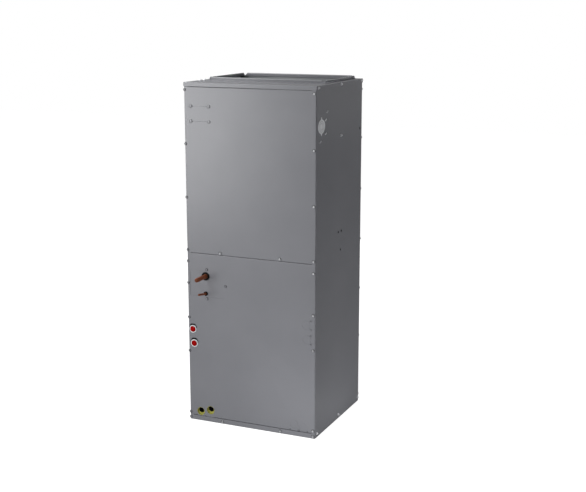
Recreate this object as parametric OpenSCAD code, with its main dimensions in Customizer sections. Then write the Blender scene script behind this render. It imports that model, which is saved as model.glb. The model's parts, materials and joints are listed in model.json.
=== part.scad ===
// Vertical air handling unit: sheet-metal cabinet, top supply collar, blower,
// A-shaped cooling coil, drain pans and refrigerant stubs.
// Millimetres. The origin is at the middle of the cabinet's footprint, on the floor.
// +X is to the right of the front, +Y goes to the back, +Z is up.

/* [Cabinet] */
// Width of the cabinet across the front
cabinet_w = 622; // [600:1:700]
// Depth of the cabinet from front panel to back panel
cabinet_d = 540; // [530:1:620]
// Height from the floor to the top of the cap
cabinet_h = 1537; // [1480:1:1700]
// Thickness of the sheet metal
sheet = 1.2; // [0.8:0.1:2]
// Width of the flanges bent inward on the side panels
side_flange = 18; // [14:1:24]
// Outer radius of the side panels' corner bends
bend_r = 3; // [2.5:0.5:5]
// Height of the side panels' lower edge above the floor
side_lift = 8; // [4:1:14]
// Height of the seam between the two front panels
seam_z = 784.5; // [720:0.5:840]
// Open gap at a seam between front panels
seam_gap = 1.5; // [0.5:0.1:2]
// Depth of the returns bent back at the edges of the front panels
panel_return = 10; // [6:0.5:14]
// Outer radius of those bends
panel_bend_r = 2; // [1.5:0.1:2.4]
// Height of the strip below the lower front panel
strip_h = 22; // [18:0.5:26]
// Height of the rail behind the seam
rail_h = 40; // [30:1:60]
// Depth of the rail behind the seam
rail_d = 24; // [16:1:30]
// Thickness of the insulation on the panels
liner_t = 12; // [8:1:20]
// Clearance round pieces that pass through a hole
fit = 0.3; // [0.2:0.05:0.5]

/* [Top cap] */
// Height of the skirt round the cap
skirt_h = 17.5; // [12:0.5:26]
// Open gap between the skirt and the upper front panel
skirt_gap = 2; // [1:0.1:3]
// Height of the duct flanges above the cap
duct_flange_h = 12.5; // [8:0.5:20]
// Length of the slant at each end of a duct flange
duct_flange_slant = 14; // [8:1:20]
// Cap width on each side of the supply opening
supply_side = 33; // [20:1:60]
// Cap width in front of the supply opening
supply_front = 171; // [120:1:200]
// Cap width behind the supply opening
supply_back = 8; // [5:1:40]
// Diameter of the hole plugs on the cap
cap_plug_d = 13; // [10:0.5:16]
// Height of the hole plugs
cap_plug_h = 6; // [3:0.5:8]
// Height of the straight rim round a hole plug
cap_plug_rim_h = 2; // [1:0.5:3]
// Distance of the hole plugs from the cabinet's left edge
cap_plug_inset = 16; // [10:0.5:20]
// Distance of the first hole plug from the cabinet's front
cap_plug_front = 120; // [100:1:140]
// Distance from the first hole plug to the second
cap_plug_step = 39; // [30:1:50]
// Distance from the second hole plug to the third
cap_plug_last = 63; // [50:1:80]
// Outer radius of the cap's bends
cap_bend_r = 2; // [1.2:0.1:2.4]

/* [Base] */
// Height of the flange round the base
base_flange_h = 20; // [14:1:20]
// Height of the lip round the return opening
return_lip_h = 20; // [12:1:24]
// Base width on each side of the return opening
return_side = 61; // [50:1:90]
// Base width in front of and behind the return opening
return_end = 72; // [66:1:90]

/* [Line set] */
// Distance of both refrigerant lines from the cabinet's left edge
line_inset = 91; // [70:1:120]
// Diameter of the suction line
suction_d = 19.05; // [15.9:0.05:22.2]
// Radius of the suction line's closed end
suction_end_r = 6; // [2:0.5:8]
// Diameter of the suction line inside the cabinet
suction_inner_d = 22.2; // [22:0.1:26]
// Length of the suction line in front of the cabinet
suction_reach = 88; // [40:1:110]
// Distance of the suction line below the window's upper edge
suction_drop = 24.5; // [22:0.5:32]
// Distance of the suction line's riser behind the cabinet's front
suction_riser = 46; // [40:1:54]
// Diameter of the liquid line
liquid_d = 9.525; // [6.35:0.025:12.7]
// Length of the liquid line's sloping end
liquid_reach = 60; // [30:1:90]
// Distance of the liquid line above the window's lower edge
liquid_rise = 15; // [13:0.5:24]
// Radius of the liquid line's closed end
liquid_end_r = 3; // [1:0.5:3]
// Upward slope of the liquid line, in degrees
liquid_slope = 9; // [0:1:15]
// Outside diameter of the suction grommet
suction_grommet_d = 38; // [30:0.5:44]
// Outside diameter of the liquid grommet
liquid_grommet_d = 20; // [16:0.5:24]
// Width of the window in the lower panel that shows the line plate
line_window_w = 170; // [140:1:200]
// Height of that window
line_window_h = 119; // [100:1:130]
// Height of the window's lower edge
line_window_z = 588; // [570:1:600]
// Overlap of the line plate behind the window's edges
line_plate_lap = 17; // [10:1:20]

/* [Drains] */
// Outside diameter of the drain ports in the lower corner
drain_d = 38; // [34:0.5:42]
// Diameter of the wide mouth of a drain port
drain_mouth_d = 33; // [30:0.5:34]
// Depth of the wide mouth
drain_mouth_depth = 24; // [12:1:30]
// Diameter of the bore behind the mouth
drain_bore_d = 26; // [20:0.5:28]
// Distance of the primary drain port from the cabinet's left edge
primary_inset = 56; // [48:1:70]
// Height of the primary drain port
primary_z = 44; // [43:0.5:48]
// Distance of the overflow drain port from the cabinet's left edge
overflow_inset = 106; // [100:1:130]
// Height of the overflow drain port
overflow_z = 55.5; // [50:0.5:60]
// Outside diameter of the collars on the side pan's ports
collar_d = 32.5; // [30:0.5:38]
// Length of those collars in front of the panel
collar_reach = 11; // [6:0.5:14]
// Diameter of the tube behind a collar
collar_tube_d = 26; // [25:0.5:26]
// Diameter of the plug in a collar
port_plug_d = 22; // [18:0.5:23]
// Diameter of the plug's head in front of its collar
port_head_d = 26; // [24:0.5:28]
// Thickness of that head
port_head_t = 2; // [1.5:0.5:6]
// Radius of the round edges on the plugs and collars
port_edge_r = 1.2; // [0.5:0.1:1.5]
// Diameter of the panel holes round those ports
port_hole_d = 36; // [36:0.5:37]
// Height of a port hole's middle above its port's middle
port_hole_rise = 4.2; // [3:0.1:4.2]
// Distance of that hole's middle to the left of its port's middle
port_hole_shift = 1.7; // [0:0.1:1.7]
// Distance of the upper side port from the cabinet's left edge
upper_port_inset = 23; // [22:0.5:30]
// Height of the upper side port
upper_port_z = 435; // [425:1:450]
// Distance of the lower side port from the cabinet's left edge
lower_port_inset = 29; // [24:0.5:34]
// Height of the lower side port
lower_port_z = 369; // [350:1:375]

/* [Knock-outs] */
// Diameter of the conduit knock-out in the right side
conduit_d = 58; // [40:1:64]
// Diameter of its two ears
conduit_ear_d = 10; // [8:1:16]
// Distance of the ears from its middle
conduit_ear_rise = 34; // [30:0.5:38]
// Width of the ties across its ring slits
conduit_tie = 8; // [5:0.5:12]
// Distance of its middle from the cabinet's front
conduit_inset = 56; // [50:1:80]
// Distance of its middle below the cabinet's top
conduit_drop = 172; // [120:1:200]
// Width of the score lines round a knock-out
score_w = 1.5; // [1:0.1:2]
// Depth of those lines
score_depth = 0.5; // [0.3:0.1:0.6]
// Width of the breaker knock-out in the upper panel
breaker_w = 88; // [60:1:120]
// Height of the breaker knock-out
breaker_h = 65; // [40:1:90]
// Distance of the breaker knock-out from the cabinet's left edge
breaker_inset = 32; // [26:1:60]
// Distance of its lower edge below the cabinet's top
breaker_drop = 167; // [140:1:220]
// Diameter of the holes at its corners
breaker_hole_d = 9.5; // [6:0.5:12]
// Width of the slits at its upper and lower edge
breaker_slit = 1; // [0.8:0.1:2]
// Width of the slits beside the drain knock-outs
knockout_slit = 2.4; // [1:0.1:3]
// Length of those slits
knockout_slit_l = 9; // [6:0.5:12]
// Height of the right-hand knock-outs above the side ports
knockout_rise = 80; // [70:1:90]

/* [Blower] */
// Height of the space between the blower deck and the cap
plenum_h = 247; // [200:1:260]
// Diameter of the blower wheel
wheel_d = 270; // [240:1:280]
// Width of the blower wheel
wheel_w = 250; // [200:1:260]
// Number of blades on the wheel
blade_count = 36; // [24:1:48]
// Depth of the ring of blades
blade_depth = 30; // [20:1:36]
// Width of the blower housing
housing_w = 284; // [280:1:320]
// Gap from the wheel to the housing at its narrowest
cutoff_gap = 12; // [8:1:20]
// Gap from the wheel to the housing at its outlet
outlet_gap = 100; // [80:1:104]
// Distance from the wheel's axis to the blower deck
wheel_drop = 200; // [190:1:230]
// Distance of the wheel's axis in front of the cabinet's middle
wheel_forward = 20; // [10:1:30]
// Diameter of the motor
motor_d = 140; // [120:1:150]
// Length of the motor
motor_l = 120; // [90:1:140]
// Distance of the motor's end inside the housing's side
motor_inset = 4; // [2:0.5:8]
// Diameter of the motor's shaft
shaft_d = 12.7; // [10:0.1:16]

/* [Coil] */
// Horizontal thickness of a coil slab
slab_t = 66; // [50:1:70]
// Distance from a slab's foot to the drain pan's outer wall
slab_foot_gap = 32; // [24:1:36]
// Distance between the slabs at the top
coil_top_gap = 16; // [8:1:30]
// Height of the coil's top above the floor
coil_top_z = 640; // [600:1:660]
// Distance from the front of the cabinet to the coil
coil_front = 85; // [80:1:95]
// Length of the coil from front to back
coil_l = 400; // [380:1:400]
// Height of the drain pan's walls
pan_h = 60; // [56:1:70]
// Wall thickness of the drain pans
pan_wall = 3; // [2:0.5:4]
// Distance from the front of the cabinet to the drain pans
pan_front = 62; // [55:1:68]
// Length of the drain pan from front to back
pan_l = 440; // [430:1:446]
// Distance of the drain pan from the side panels
pan_side = 30; // [28:1:36]
// Width of the drain pan's trough
pan_trough = 112; // [104:1:116]
// Width of the trough at the pan's front and back
pan_end_trough = 58; // [50:1:64]
// Height of the side drain pan's foot above the floor
side_pan_z = 95; // [90:1:110]
// Height of the side drain pan
side_pan_h = 470; // [440:1:500]
// Depth of the side drain pan
side_pan_t = 40; // [36:1:44]

/* [Hidden] */
$fn = 64;

paint = "#8a8b90";
galvanised = "#b4b8bb";
copper = "#8a5038";
rubber = "#161616";
drain_yellow = "#8f8d42";
port_white = "#c9d0d3";
plug_red = "#960808";
foil = "#9aa0a4";
fin_metal = "#a9adb0";
pan_black = "#242527";

half_w = cabinet_w / 2;
half_d = cabinet_d / 2;
front_y = -half_d;
panel_back_y = front_y + sheet;
flange_back_y = front_y + 2 * sheet;
flange_edge_x = half_w - side_flange;
panel_x = half_w - bend_r;
side_top = cabinet_h - sheet;
cap_over = sheet + fit;
cap_w = cabinet_w + 2 * cap_over;
cap_d = cabinet_d + 2 * cap_over;

lower_bottom_z = strip_h + seam_gap;
lower_top_z = seam_z - seam_gap / 2;
upper_bottom_z = seam_z + seam_gap / 2;
upper_top_z = cabinet_h - skirt_h - skirt_gap;
rail_front_y = front_y + panel_return;

supply_x = half_w - supply_side;
supply_y0 = -half_d + supply_front;
supply_y1 = half_d - supply_back;
return_x = half_w - return_side;
return_y = half_d - return_end;

line_x = -half_w + line_inset;
window_x0 = -flange_edge_x - 5;
window_x1 = window_x0 + line_window_w;
suction_z = line_window_z + line_window_h - suction_drop;
liquid_z = line_window_z + liquid_rise;
suction_hole_r = suction_grommet_d / 2 - 2.5;
liquid_hole_r = liquid_grommet_d / 2 - 1.5;
grommet_lip = 2;

primary_x = -half_w + primary_inset;
overflow_x = -half_w + overflow_inset;
upper_port_x = -half_w + upper_port_inset;
lower_port_x = -half_w + lower_port_inset;
pan_front_y = front_y + pan_front;

liner_x = half_w - sheet - liner_t;
liner_front_y = pan_front_y + pan_wall;
liner_back_y = half_d - 2 * sheet;
liner_top = side_top - 3;
liner_bottom = side_pan_z;
front_liner_y = panel_back_y + liner_t;

deck_z = cabinet_h - plenum_h;
deck_flange = 20;
wheel_r = wheel_d / 2;
wheel_y = -wheel_forward;
wheel_z = deck_z - wheel_drop;
cutoff_angle = 115;
scroll_start_r = wheel_r + cutoff_gap;
scroll_end_r = wheel_r + outlet_gap;
outlet_y0 = wheel_y + scroll_start_r * cos(cutoff_angle);
outlet_y1 = wheel_y + scroll_end_r;
inlet_r = wheel_r - blade_depth + 3;

pan_z = return_lip_h;
pan_floor_z = pan_z + pan_wall;
pan_x = half_w - pan_side;
pan_y0 = pan_front_y;
pan_y1 = pan_front_y + pan_l;
coil_y0 = front_y + coil_front;
coil_y1 = coil_y0 + coil_l;
coil_foot_x = pan_x - pan_wall - slab_foot_gap - slab_t;
coil_top_x = coil_top_gap / 2;
side_pan_x = -liner_x;

// Outline in the front view, standing in XZ, with its front face at y and thickness t behind it
module front_plate(y, t) {
    translate([0, y + t, 0])
        rotate([90, 0, 0])
            linear_extrude(t) children();
}

// Outline in the side view, standing in YZ, from x0 to x1
module side_plate(x0, x1) {
    translate([x0, 0, 0])
        rotate([90, 0, 90])
            linear_extrude(x1 - x0) children();
}

module rect(x0, z0, x1, z1) {
    translate([x0, z0]) square([x1 - x0, z1 - z0]);
}

module block(x0, y0, z0, x1, y1, z1) {
    translate([x0, y0, z0]) cube([x1 - x0, y1 - y0, z1 - z0]);
}

// Round bar along Y from y0 to y1
module bar_y(x, z, d, y0, y1) {
    translate([x, y0, z])
        rotate([-90, 0, 0]) cylinder(d = d, h = y1 - y0);
}

// The same bar with its edge rounded at y0
module round_bar_y(x, z, d, r, y0, y1) {
    translate([x, y1, z])
        rotate([90, 0, 0])
            rotate_extrude()
                difference() {
                    square([d / 2, y1 - y0]);
                    translate([d / 2 - r, y1 - y0 - r])
                        difference() {
                            square([r + 1, r + 1]);
                            circle(r = r);
                        }
                }
}

// Rectangle whose two right-hand corners are rounded
module rounded_end_rect(x0, y0, x1, y1, r) {
    difference() {
        rect(x0, y0, x1, y1);
        for (end = [[y0, 0], [y1, 1]])
            translate([x1 - r, end[0]])
                mirror([0, end[1]])
                    difference() {
                        translate([0, -1]) square([r + 1, r + 1]);
                        translate([0, r]) circle(r = r);
                    }
    }
}

// Plan of a side panel: web with a flange bent inward at the front and at the back
module side_plan() {
    difference() {
        rounded_end_rect(flange_edge_x, panel_back_y, half_w, half_d - sheet, bend_r);
        rounded_end_rect(flange_edge_x - 1, flange_back_y,
                         half_w - sheet, half_d - 2 * sheet, bend_r - sheet);
    }
}

module side_sheet() {
    translate([0, 0, side_lift])
        linear_extrude(side_top - side_lift) side_plan();
}

// The front flange is relieved where the side ports pass
module left_side_panel() {
    relief_low = lower_port_z + port_hole_rise - port_hole_d / 2;
    relief_high = upper_port_z + port_hole_rise + port_hole_d / 2;
    color(paint)
        difference() {
            mirror([1, 0, 0]) side_sheet();
            block(-half_w + bend_r + 1, front_y, relief_low,
                  -flange_edge_x + 1, flange_back_y + sheet, relief_high);
        }
}

conduit_y = front_y + conduit_inset;
conduit_z = cabinet_h - conduit_drop;
conduit_rings = [0.48, 0.78];
conduit_neck = [0.22 * conduit_d, 0.43 * conduit_d];
side_holes = [
    [half_d - 27, cabinet_h - 222, 7],
    [-14, seam_z + 94, 5],
    [23, seam_z + 94, 5],
    [14, seam_z + 10, 5]
];

// Round knock-out with an ear on a tapered neck above and below
module conduit_outline(grow) {
    ear_r = conduit_ear_d / 2 + grow;
    neck_x = conduit_neck[0] + 1.5 * grow;
    circle(d = conduit_d + 2 * grow);
    for (side = [0, 1])
        mirror([0, side]) {
            translate([0, conduit_ear_rise]) circle(r = ear_r);
            polygon([
                [-neck_x, conduit_neck[1]],
                [neck_x, conduit_neck[1]],
                [ear_r, conduit_ear_rise],
                [-ear_r, conduit_ear_rise]
            ]);
        }
}

// Outline of a round score line
module score_ring(d) {
    difference() {
        circle(d = d + score_w);
        circle(d = d - score_w);
    }
}

module right_side_panel() {
    color(paint)
        difference() {
            side_sheet();
            side_plate(half_w - 2 * sheet, half_w + sheet) {
                translate([conduit_y, conduit_z]) conduit_outline(fit);
                for (hole = side_holes)
                    translate([hole[0], hole[1]]) circle(d = hole[2]);
            }
        }
}

// Knock-out with two rings of slits between its ties
module conduit_knockout() {
    color(galvanised)
        side_plate(half_w - sheet, half_w)
            translate([conduit_y, conduit_z])
                difference() {
                    conduit_outline(0);
                    for (ring = conduit_rings)
                        difference() {
                            score_ring(ring * conduit_d);
                            square([conduit_d, conduit_tie], center = true);
                            square([conduit_tie, conduit_d], center = true);
                        }
                }
}

module back_panel() {
    color(paint)
        front_plate(half_d - sheet, sheet)
            rect(-panel_x, side_lift, panel_x, side_top);
}

// Upturned flange along one edge of the supply opening, with slanted ends
module duct_flange(length) {
    rotate([90, 0, 0])
        linear_extrude(sheet)
            polygon([
                [-length / 2, 0],
                [length / 2, 0],
                [length / 2 - duct_flange_slant, duct_flange_h],
                [-length / 2 + duct_flange_slant, duct_flange_h]
            ]);
}

// Outline of the cap from one side, with its upper corners rounded
module cap_outline(width) {
    rotate(90)
        rounded_end_rect(cabinet_h - skirt_h, -width / 2, cabinet_h, width / 2, cap_bend_r);
}

// Plate and skirt of the cap, open below and at the supply opening
module cap_shell() {
    inner_x = cap_w / 2 - sheet;
    inner_y = cap_d / 2 - sheet;
    difference() {
        intersection() {
            side_plate(-cap_w / 2, cap_w / 2) cap_outline(cap_d);
            front_plate(-cap_d / 2, cap_d) cap_outline(cap_w);
        }
        block(-inner_x, -inner_y, cabinet_h - skirt_h - 1, inner_x, inner_y, side_top);
        block(-supply_x, supply_y0, side_top - 1, supply_x, supply_y1, cabinet_h + 1);
    }
}

module top_cap() {
    supply_w = 2 * supply_x;
    supply_d = supply_y1 - supply_y0;
    supply_y = (supply_y0 + supply_y1) / 2;
    color(paint) {
        cap_shell();
        translate([0, supply_y0, cabinet_h]) duct_flange(supply_w);
        translate([0, supply_y1 + sheet, cabinet_h]) duct_flange(supply_w);
        for (side = [0, 180])
            translate([0, supply_y, cabinet_h])
                rotate([0, 0, side])
                    translate([supply_x, 0, 0]) rotate([0, 0, 90]) duct_flange(supply_d);
    }
}

cap_plug_y0 = front_y + cap_plug_front;
cap_plug_y = [cap_plug_y0, cap_plug_y0 + cap_plug_step, cap_plug_y0 + cap_plug_step + cap_plug_last];

module cap_hole_plugs() {
    color(galvanised)
        for (y = cap_plug_y)
            translate([-half_w + cap_plug_inset, y, cabinet_h])
                rotate_extrude()
                    polygon([
                        [0, 0],
                        [cap_plug_d / 2, 0],
                        [cap_plug_d / 2, cap_plug_rim_h],
                        [cap_plug_d / 4, cap_plug_h],
                        [0, cap_plug_h]
                    ]);
}

breaker_x0 = -half_w + breaker_inset;
breaker_z0 = cabinet_h - breaker_drop;

// Front panel with a return bent back at its upper and lower edge, between the side panels' flanges
module panel_sheet(z0, z1) {
    difference() {
        side_plate(-panel_x, panel_x)
            mirror([1, 0])
                difference() {
                    rounded_end_rect(-front_y - panel_return, z0, -front_y, z1, panel_bend_r);
                    rounded_end_rect(-front_y - panel_return - 1, z0 + sheet,
                                     -front_y - sheet, z1 - sheet, panel_bend_r - sheet);
                }
        for (side = [0, 1])
            mirror([side, 0, 0])
                block(flange_edge_x - fit, panel_back_y, z0 - 1,
                      half_w, front_y + panel_return + 1, z1 + 1);
    }
}

// Cut through a front panel and its returns
module panel_cut() {
    front_plate(front_y - 1, panel_return + 2) children();
}

module upper_front_panel() {
    color(paint)
        difference() {
            panel_sheet(upper_bottom_z, upper_top_z);
            panel_cut()
                for (z = [breaker_z0, breaker_z0 + breaker_h]) {
                    rect(breaker_x0 + breaker_hole_d, z - breaker_slit / 2,
                         breaker_x0 + breaker_w - breaker_hole_d, z + breaker_slit / 2);
                    for (x = [breaker_x0, breaker_x0 + breaker_w])
                        translate([x, z]) circle(d = breaker_hole_d);
                }
        }
}

// Hole round a side port, set a little high and to the left
module port_hole(x, z) {
    translate([x - port_hole_shift, z + port_hole_rise]) circle(d = port_hole_d);
}

// Notch round a drain port, open to the panel's lower edge
module drain_notch(x, z) {
    translate([x, z]) circle(d = drain_d + 2 * fit);
    rect(x - drain_d / 2 - fit, 0, x + drain_d / 2 + fit, z);
}

side_knockouts = [
    [half_w - upper_port_inset - 20, upper_port_z + knockout_rise],
    [half_w - lower_port_inset - 10, lower_port_z + knockout_rise]
];
foot_knockouts = [
    [half_w - overflow_inset + 6, overflow_z],
    [half_w - primary_inset, primary_z + 2]
];

// Short slits from a side knock-out towards the panel's right edge
module side_knockout_slits(place) {
    for (side = [-1, 1])
        translate([panel_x - side_flange, place[1] + side * drain_d / 2])
            square([knockout_slit_l, knockout_slit], center = true);
}

// Slits from a foot knock-out up from the panel's lower edge
module foot_knockout_slits(place) {
    for (side = [-1, 1])
        translate([place[0] + side * drain_d / 2, lower_bottom_z])
            square([knockout_slit, 2 * knockout_slit_l], center = true);
}

module lower_front_panel() {
    color(paint)
        difference() {
            panel_sheet(lower_bottom_z, lower_top_z);
            panel_cut() {
                rect(window_x0, line_window_z, window_x1, line_window_z + line_window_h);
                port_hole(upper_port_x, upper_port_z);
                port_hole(lower_port_x, lower_port_z);
                drain_notch(primary_x, primary_z);
                drain_notch(overflow_x, overflow_z);
                for (place = side_knockouts) side_knockout_slits(place);
                for (place = foot_knockouts) foot_knockout_slits(place);
            }
            front_plate(front_y - sheet, sheet + score_depth)
                for (place = concat(side_knockouts, foot_knockouts))
                    translate(place) score_ring(drain_d);
        }
}

module front_base_strip() {
    color(paint)
        front_plate(front_y, sheet)
            rect(-panel_x, 0, panel_x, strip_h);
}

// Upright sheet round a rectangle given by its outer corners
module sheet_ring(x, y0, y1, height) {
    linear_extrude(height)
        difference() {
            rect(-x, y0, x, y1);
            rect(-x + sheet, y0 + sheet, x - sheet, y1 - sheet);
        }
}

module base_frame() {
    base_x = half_w - sheet;
    base_y0 = flange_back_y;
    base_y1 = half_d - 2 * sheet;
    color(galvanised) {
        linear_extrude(sheet)
            difference() {
                rect(-base_x, base_y0, base_x, base_y1);
                rect(-return_x, -return_y, return_x, return_y);
            }
        sheet_ring(base_x, base_y0, base_y1, base_flange_h);
        sheet_ring(return_x + sheet, -return_y - sheet, return_y + sheet, return_lip_h);
    }
}

// Channel between the side panels, open at the back
module mid_rail() {
    rail_x = half_w - sheet;
    rail_back_y = rail_front_y + rail_d;
    color(galvanised)
        side_plate(-rail_x, rail_x)
            difference() {
                rect(rail_front_y, seam_z - rail_h / 2, rail_back_y, seam_z + rail_h / 2);
                rect(rail_front_y + sheet, seam_z - rail_h / 2 + sheet,
                     rail_back_y + 1, seam_z + rail_h / 2 - sheet);
            }
}

module line_set_plate() {
    color(paint)
        front_plate(panel_back_y, sheet)
            difference() {
                rect(-flange_edge_x, line_window_z - line_plate_lap,
                     window_x1 + line_plate_lap, line_window_z + line_window_h + line_plate_lap);
                translate([line_x, suction_z]) circle(r = suction_hole_r);
                translate([line_x, liquid_z]) circle(r = liquid_hole_r);
            }
}

// Rubber ring in a sheet-metal hole, with a lip on each face of the sheet
module grommet(z, lip_d, hole_r, line_d) {
    bore_r = line_d / 2 + fit;
    half_t = sheet / 2 + fit;
    color(rubber)
        translate([line_x, panel_back_y + sheet / 2, z])
            rotate([90, 0, 0])
                rotate_extrude()
                    polygon([
                        [bore_r, -half_t - grommet_lip],
                        [lip_d / 2, -half_t - grommet_lip],
                        [lip_d / 2, -half_t],
                        [hole_r - fit, -half_t],
                        [hole_r - fit, half_t],
                        [lip_d / 2, half_t],
                        [lip_d / 2, half_t + grommet_lip],
                        [bore_r, half_t + grommet_lip]
                    ]);
}

module suction_grommet() {
    grommet(suction_z, suction_grommet_d, suction_hole_r, suction_inner_d);
}

module liquid_grommet() {
    grommet(liquid_z, liquid_grommet_d, liquid_hole_r, liquid_d);
}

suction_riser_y = front_y + suction_riser;
suction_foot_z = side_pan_z + 15;
suction_bend_r = 1.2 * suction_inner_d;
liquid_run_y = front_y + 26;
liquid_coil_x = -coil_top_x - slab_t / 2;
liquid_bend_r = 12;
liquid_slope_r = 40;
grommet_front_y = panel_back_y - fit - grommet_lip;

// Quarter or smaller bend of a tube about the local Z axis, from one angle to another
module tube_bend(d, r, from, to) {
    rotate([0, 0, from])
        rotate_extrude(angle = to - from)
            translate([r, 0]) circle(d = d);
}

// The same bend standing in the YZ plane, with angles counted from +Y towards +Z
module upright_bend(d, r, from, to) {
    rotate([90, 0, 90]) tube_bend(d, r, from, to);
}

module suction_line() {
    r = suction_bend_r;
    d = suction_inner_d;
    color(copper) {
        round_bar_y(line_x, suction_z, suction_d, suction_end_r, front_y - suction_reach, grommet_front_y);
        bar_y(line_x, suction_z, d, grommet_front_y, suction_riser_y - r);
        translate([line_x, suction_riser_y - r, suction_z - r]) upright_bend(d, r, 0, 90);
        translate([line_x, suction_riser_y, suction_foot_z + r])
            cylinder(d = d, h = suction_z - suction_foot_z - 2 * r);
        translate([line_x, suction_riser_y + r, suction_foot_z + r]) upright_bend(d, r, 180, 270);
        bar_y(line_x, suction_foot_z, d, suction_riser_y + r, coil_y0);
    }
}

module liquid_line() {
    r = liquid_bend_r;
    color(copper) {
        translate([line_x, grommet_front_y, liquid_z + liquid_slope_r]) {
            upright_bend(liquid_d, liquid_slope_r, 270 - liquid_slope, 270);
            rotate([-liquid_slope, 0, 0])
                translate([0, 0, -liquid_slope_r])
                    round_bar_y(0, 0, liquid_d, liquid_end_r, -liquid_reach, 0);
        }
        bar_y(line_x, liquid_z, liquid_d, grommet_front_y, liquid_run_y - r);
        translate([line_x + r, liquid_run_y - r, liquid_z]) tube_bend(liquid_d, r, 90, 180);
        translate([line_x + r, liquid_run_y, liquid_z])
            rotate([0, 90, 0]) cylinder(d = liquid_d, h = liquid_coil_x - line_x - 2 * r);
        translate([liquid_coil_x - r, liquid_run_y + r, liquid_z]) tube_bend(liquid_d, r, 270, 360);
        bar_y(liquid_coil_x, liquid_z, liquid_d, liquid_run_y + r, coil_y0);
    }
}

// Threaded drain port with a wide mouth, from the panel's face back to the pan
module drain_port(x, z) {
    color(drain_yellow)
        difference() {
            bar_y(x, z, drain_d, front_y, pan_front_y);
            bar_y(x, z, drain_mouth_d, front_y - 1, front_y + drain_mouth_depth);
            bar_y(x, z, drain_bore_d, front_y, pan_front_y - pan_wall);
        }
}

module primary_drain_port() {
    drain_port(primary_x, primary_z);
}

module overflow_drain_port() {
    drain_port(overflow_x, overflow_z);
}

// Collar in front of the panel, with its tube running back to the side pan
module side_port(x, z) {
    color(port_white)
        difference() {
            union() {
                round_bar_y(x, z, collar_d, port_edge_r, front_y - collar_reach, front_y);
                bar_y(x, z, collar_tube_d, front_y, pan_front_y);
            }
            bar_y(x, z, port_plug_d, front_y - collar_reach - 1, pan_front_y - pan_wall);
        }
}

module upper_side_port() {
    side_port(upper_port_x, upper_port_z);
}

module lower_side_port() {
    side_port(lower_port_x, lower_port_z);
}

port_plug_depth = 16;

// Plug with a round-edged head that rests on its collar
module port_plug(x, z) {
    collar_front_y = front_y - collar_reach;
    color(plug_red) {
        round_bar_y(x, z, port_head_d, port_edge_r, collar_front_y - port_head_t, collar_front_y);
        bar_y(x, z, port_plug_d - 2 * fit, collar_front_y - 1, front_y + port_plug_depth);
    }
}

module upper_port_plug() {
    port_plug(upper_port_x, upper_port_z);
}

module lower_port_plug() {
    port_plug(lower_port_x, lower_port_z);
}

module side_liner() {
    block(liner_x, liner_front_y, liner_bottom, half_w - sheet, liner_back_y - liner_t, liner_top);
}

// Open behind the conduit knock-out and behind the panel's holes
module right_liner() {
    conduit_reach = conduit_ear_rise + conduit_ear_d;
    color(foil)
        difference() {
            side_liner();
            side_plate(liner_x - 1, half_w) {
                rect(liner_front_y - 1, conduit_z - conduit_reach,
                     conduit_y + conduit_reach, conduit_z + conduit_reach);
                for (hole = side_holes)
                    translate([hole[0], hole[1]]) circle(d = 2 * hole[2]);
            }
        }
}

module left_liner() {
    color(foil) mirror([1, 0, 0]) side_liner();
}

module back_liner() {
    color(foil)
        block(-flange_edge_x, liner_back_y - liner_t, liner_bottom,
              flange_edge_x, half_d - sheet, liner_top);
}

// Open behind the breaker knock-out
module front_liner() {
    margin = breaker_hole_d / 2 + 1;
    color(foil)
        front_plate(panel_back_y, liner_t)
            difference() {
                rect(-flange_edge_x + 2, seam_z + rail_h / 2 + 2, flange_edge_x - 2, upper_top_z - 2 * sheet);
                rect(breaker_x0 - margin, breaker_z0 - margin,
                     breaker_x0 + breaker_w + margin, breaker_z0 + breaker_h + margin);
            }
}

module blower_deck() {
    deck_y1 = liner_back_y - liner_t;
    color(galvanised) {
        translate([0, 0, deck_z])
            linear_extrude(sheet)
                difference() {
                    rect(-liner_x, front_liner_y, liner_x, deck_y1);
                    rect(-housing_w / 2 + sheet, outlet_y0 + sheet,
                         housing_w / 2 - sheet, outlet_y1 - sheet);
                }
        for (side = [0, 1])
            mirror([side, 0, 0])
                block(liner_x - sheet, liner_front_y, deck_z - deck_flange, liner_x, deck_y1, deck_z);
    }
}

// Radius of the housing's scroll at an angle counted from the back, over the top
function scroll_r(angle) =
    scroll_start_r + (scroll_end_r - scroll_start_r) * (angle - cutoff_angle) / (360 - cutoff_angle);

// Side view of the scroll and its outlet throat, drawn inward by the given amount
module scroll_outline(inward) {
    steps = 36;
    polygon(concat(
        [for (i = [0:steps])
            let (angle = cutoff_angle + (360 - cutoff_angle) * i / steps, r = scroll_r(angle) - inward)
                [wheel_y + r * cos(angle), wheel_z + r * sin(angle)]],
        [
            [outlet_y1 - inward, deck_z],
            [outlet_y0 + inward, deck_z]
        ]
    ));
}

module blower_housing() {
    color(galvanised) {
        side_plate(-housing_w / 2, housing_w / 2)
            difference() {
                scroll_outline(0);
                scroll_outline(sheet);
            }
        for (x = [-housing_w / 2, housing_w / 2 - sheet])
            side_plate(x, x + sheet)
                difference() {
                    scroll_outline(0);
                    translate([wheel_y, wheel_z]) circle(r = inlet_r);
                }
    }
}

blade_t = 1.2;
blade_lean = 28;
wheel_rim_t = 3;
hub_d = 44;

// Cross-section of one forward-curved blade, at the back of the wheel
module blade_outline() {
    steps = 6;
    inner_r = wheel_r - blade_depth;
    outer_r = wheel_r - 1;
    mid = [for (i = [0:steps])
        let (s = i / steps, r = inner_r + (outer_r - inner_r) * s, a = blade_lean * s * s)
            [r * cos(a), r * sin(a)]];
    polygon(concat(
        mid,
        [for (i = [steps:-1:0])
            let (p = mid[i], r = norm(p), a = atan2(p[1], p[0]) + blade_t / r * 180 / PI)
                [r * cos(a), r * sin(a)]]
    ));
}

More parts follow.
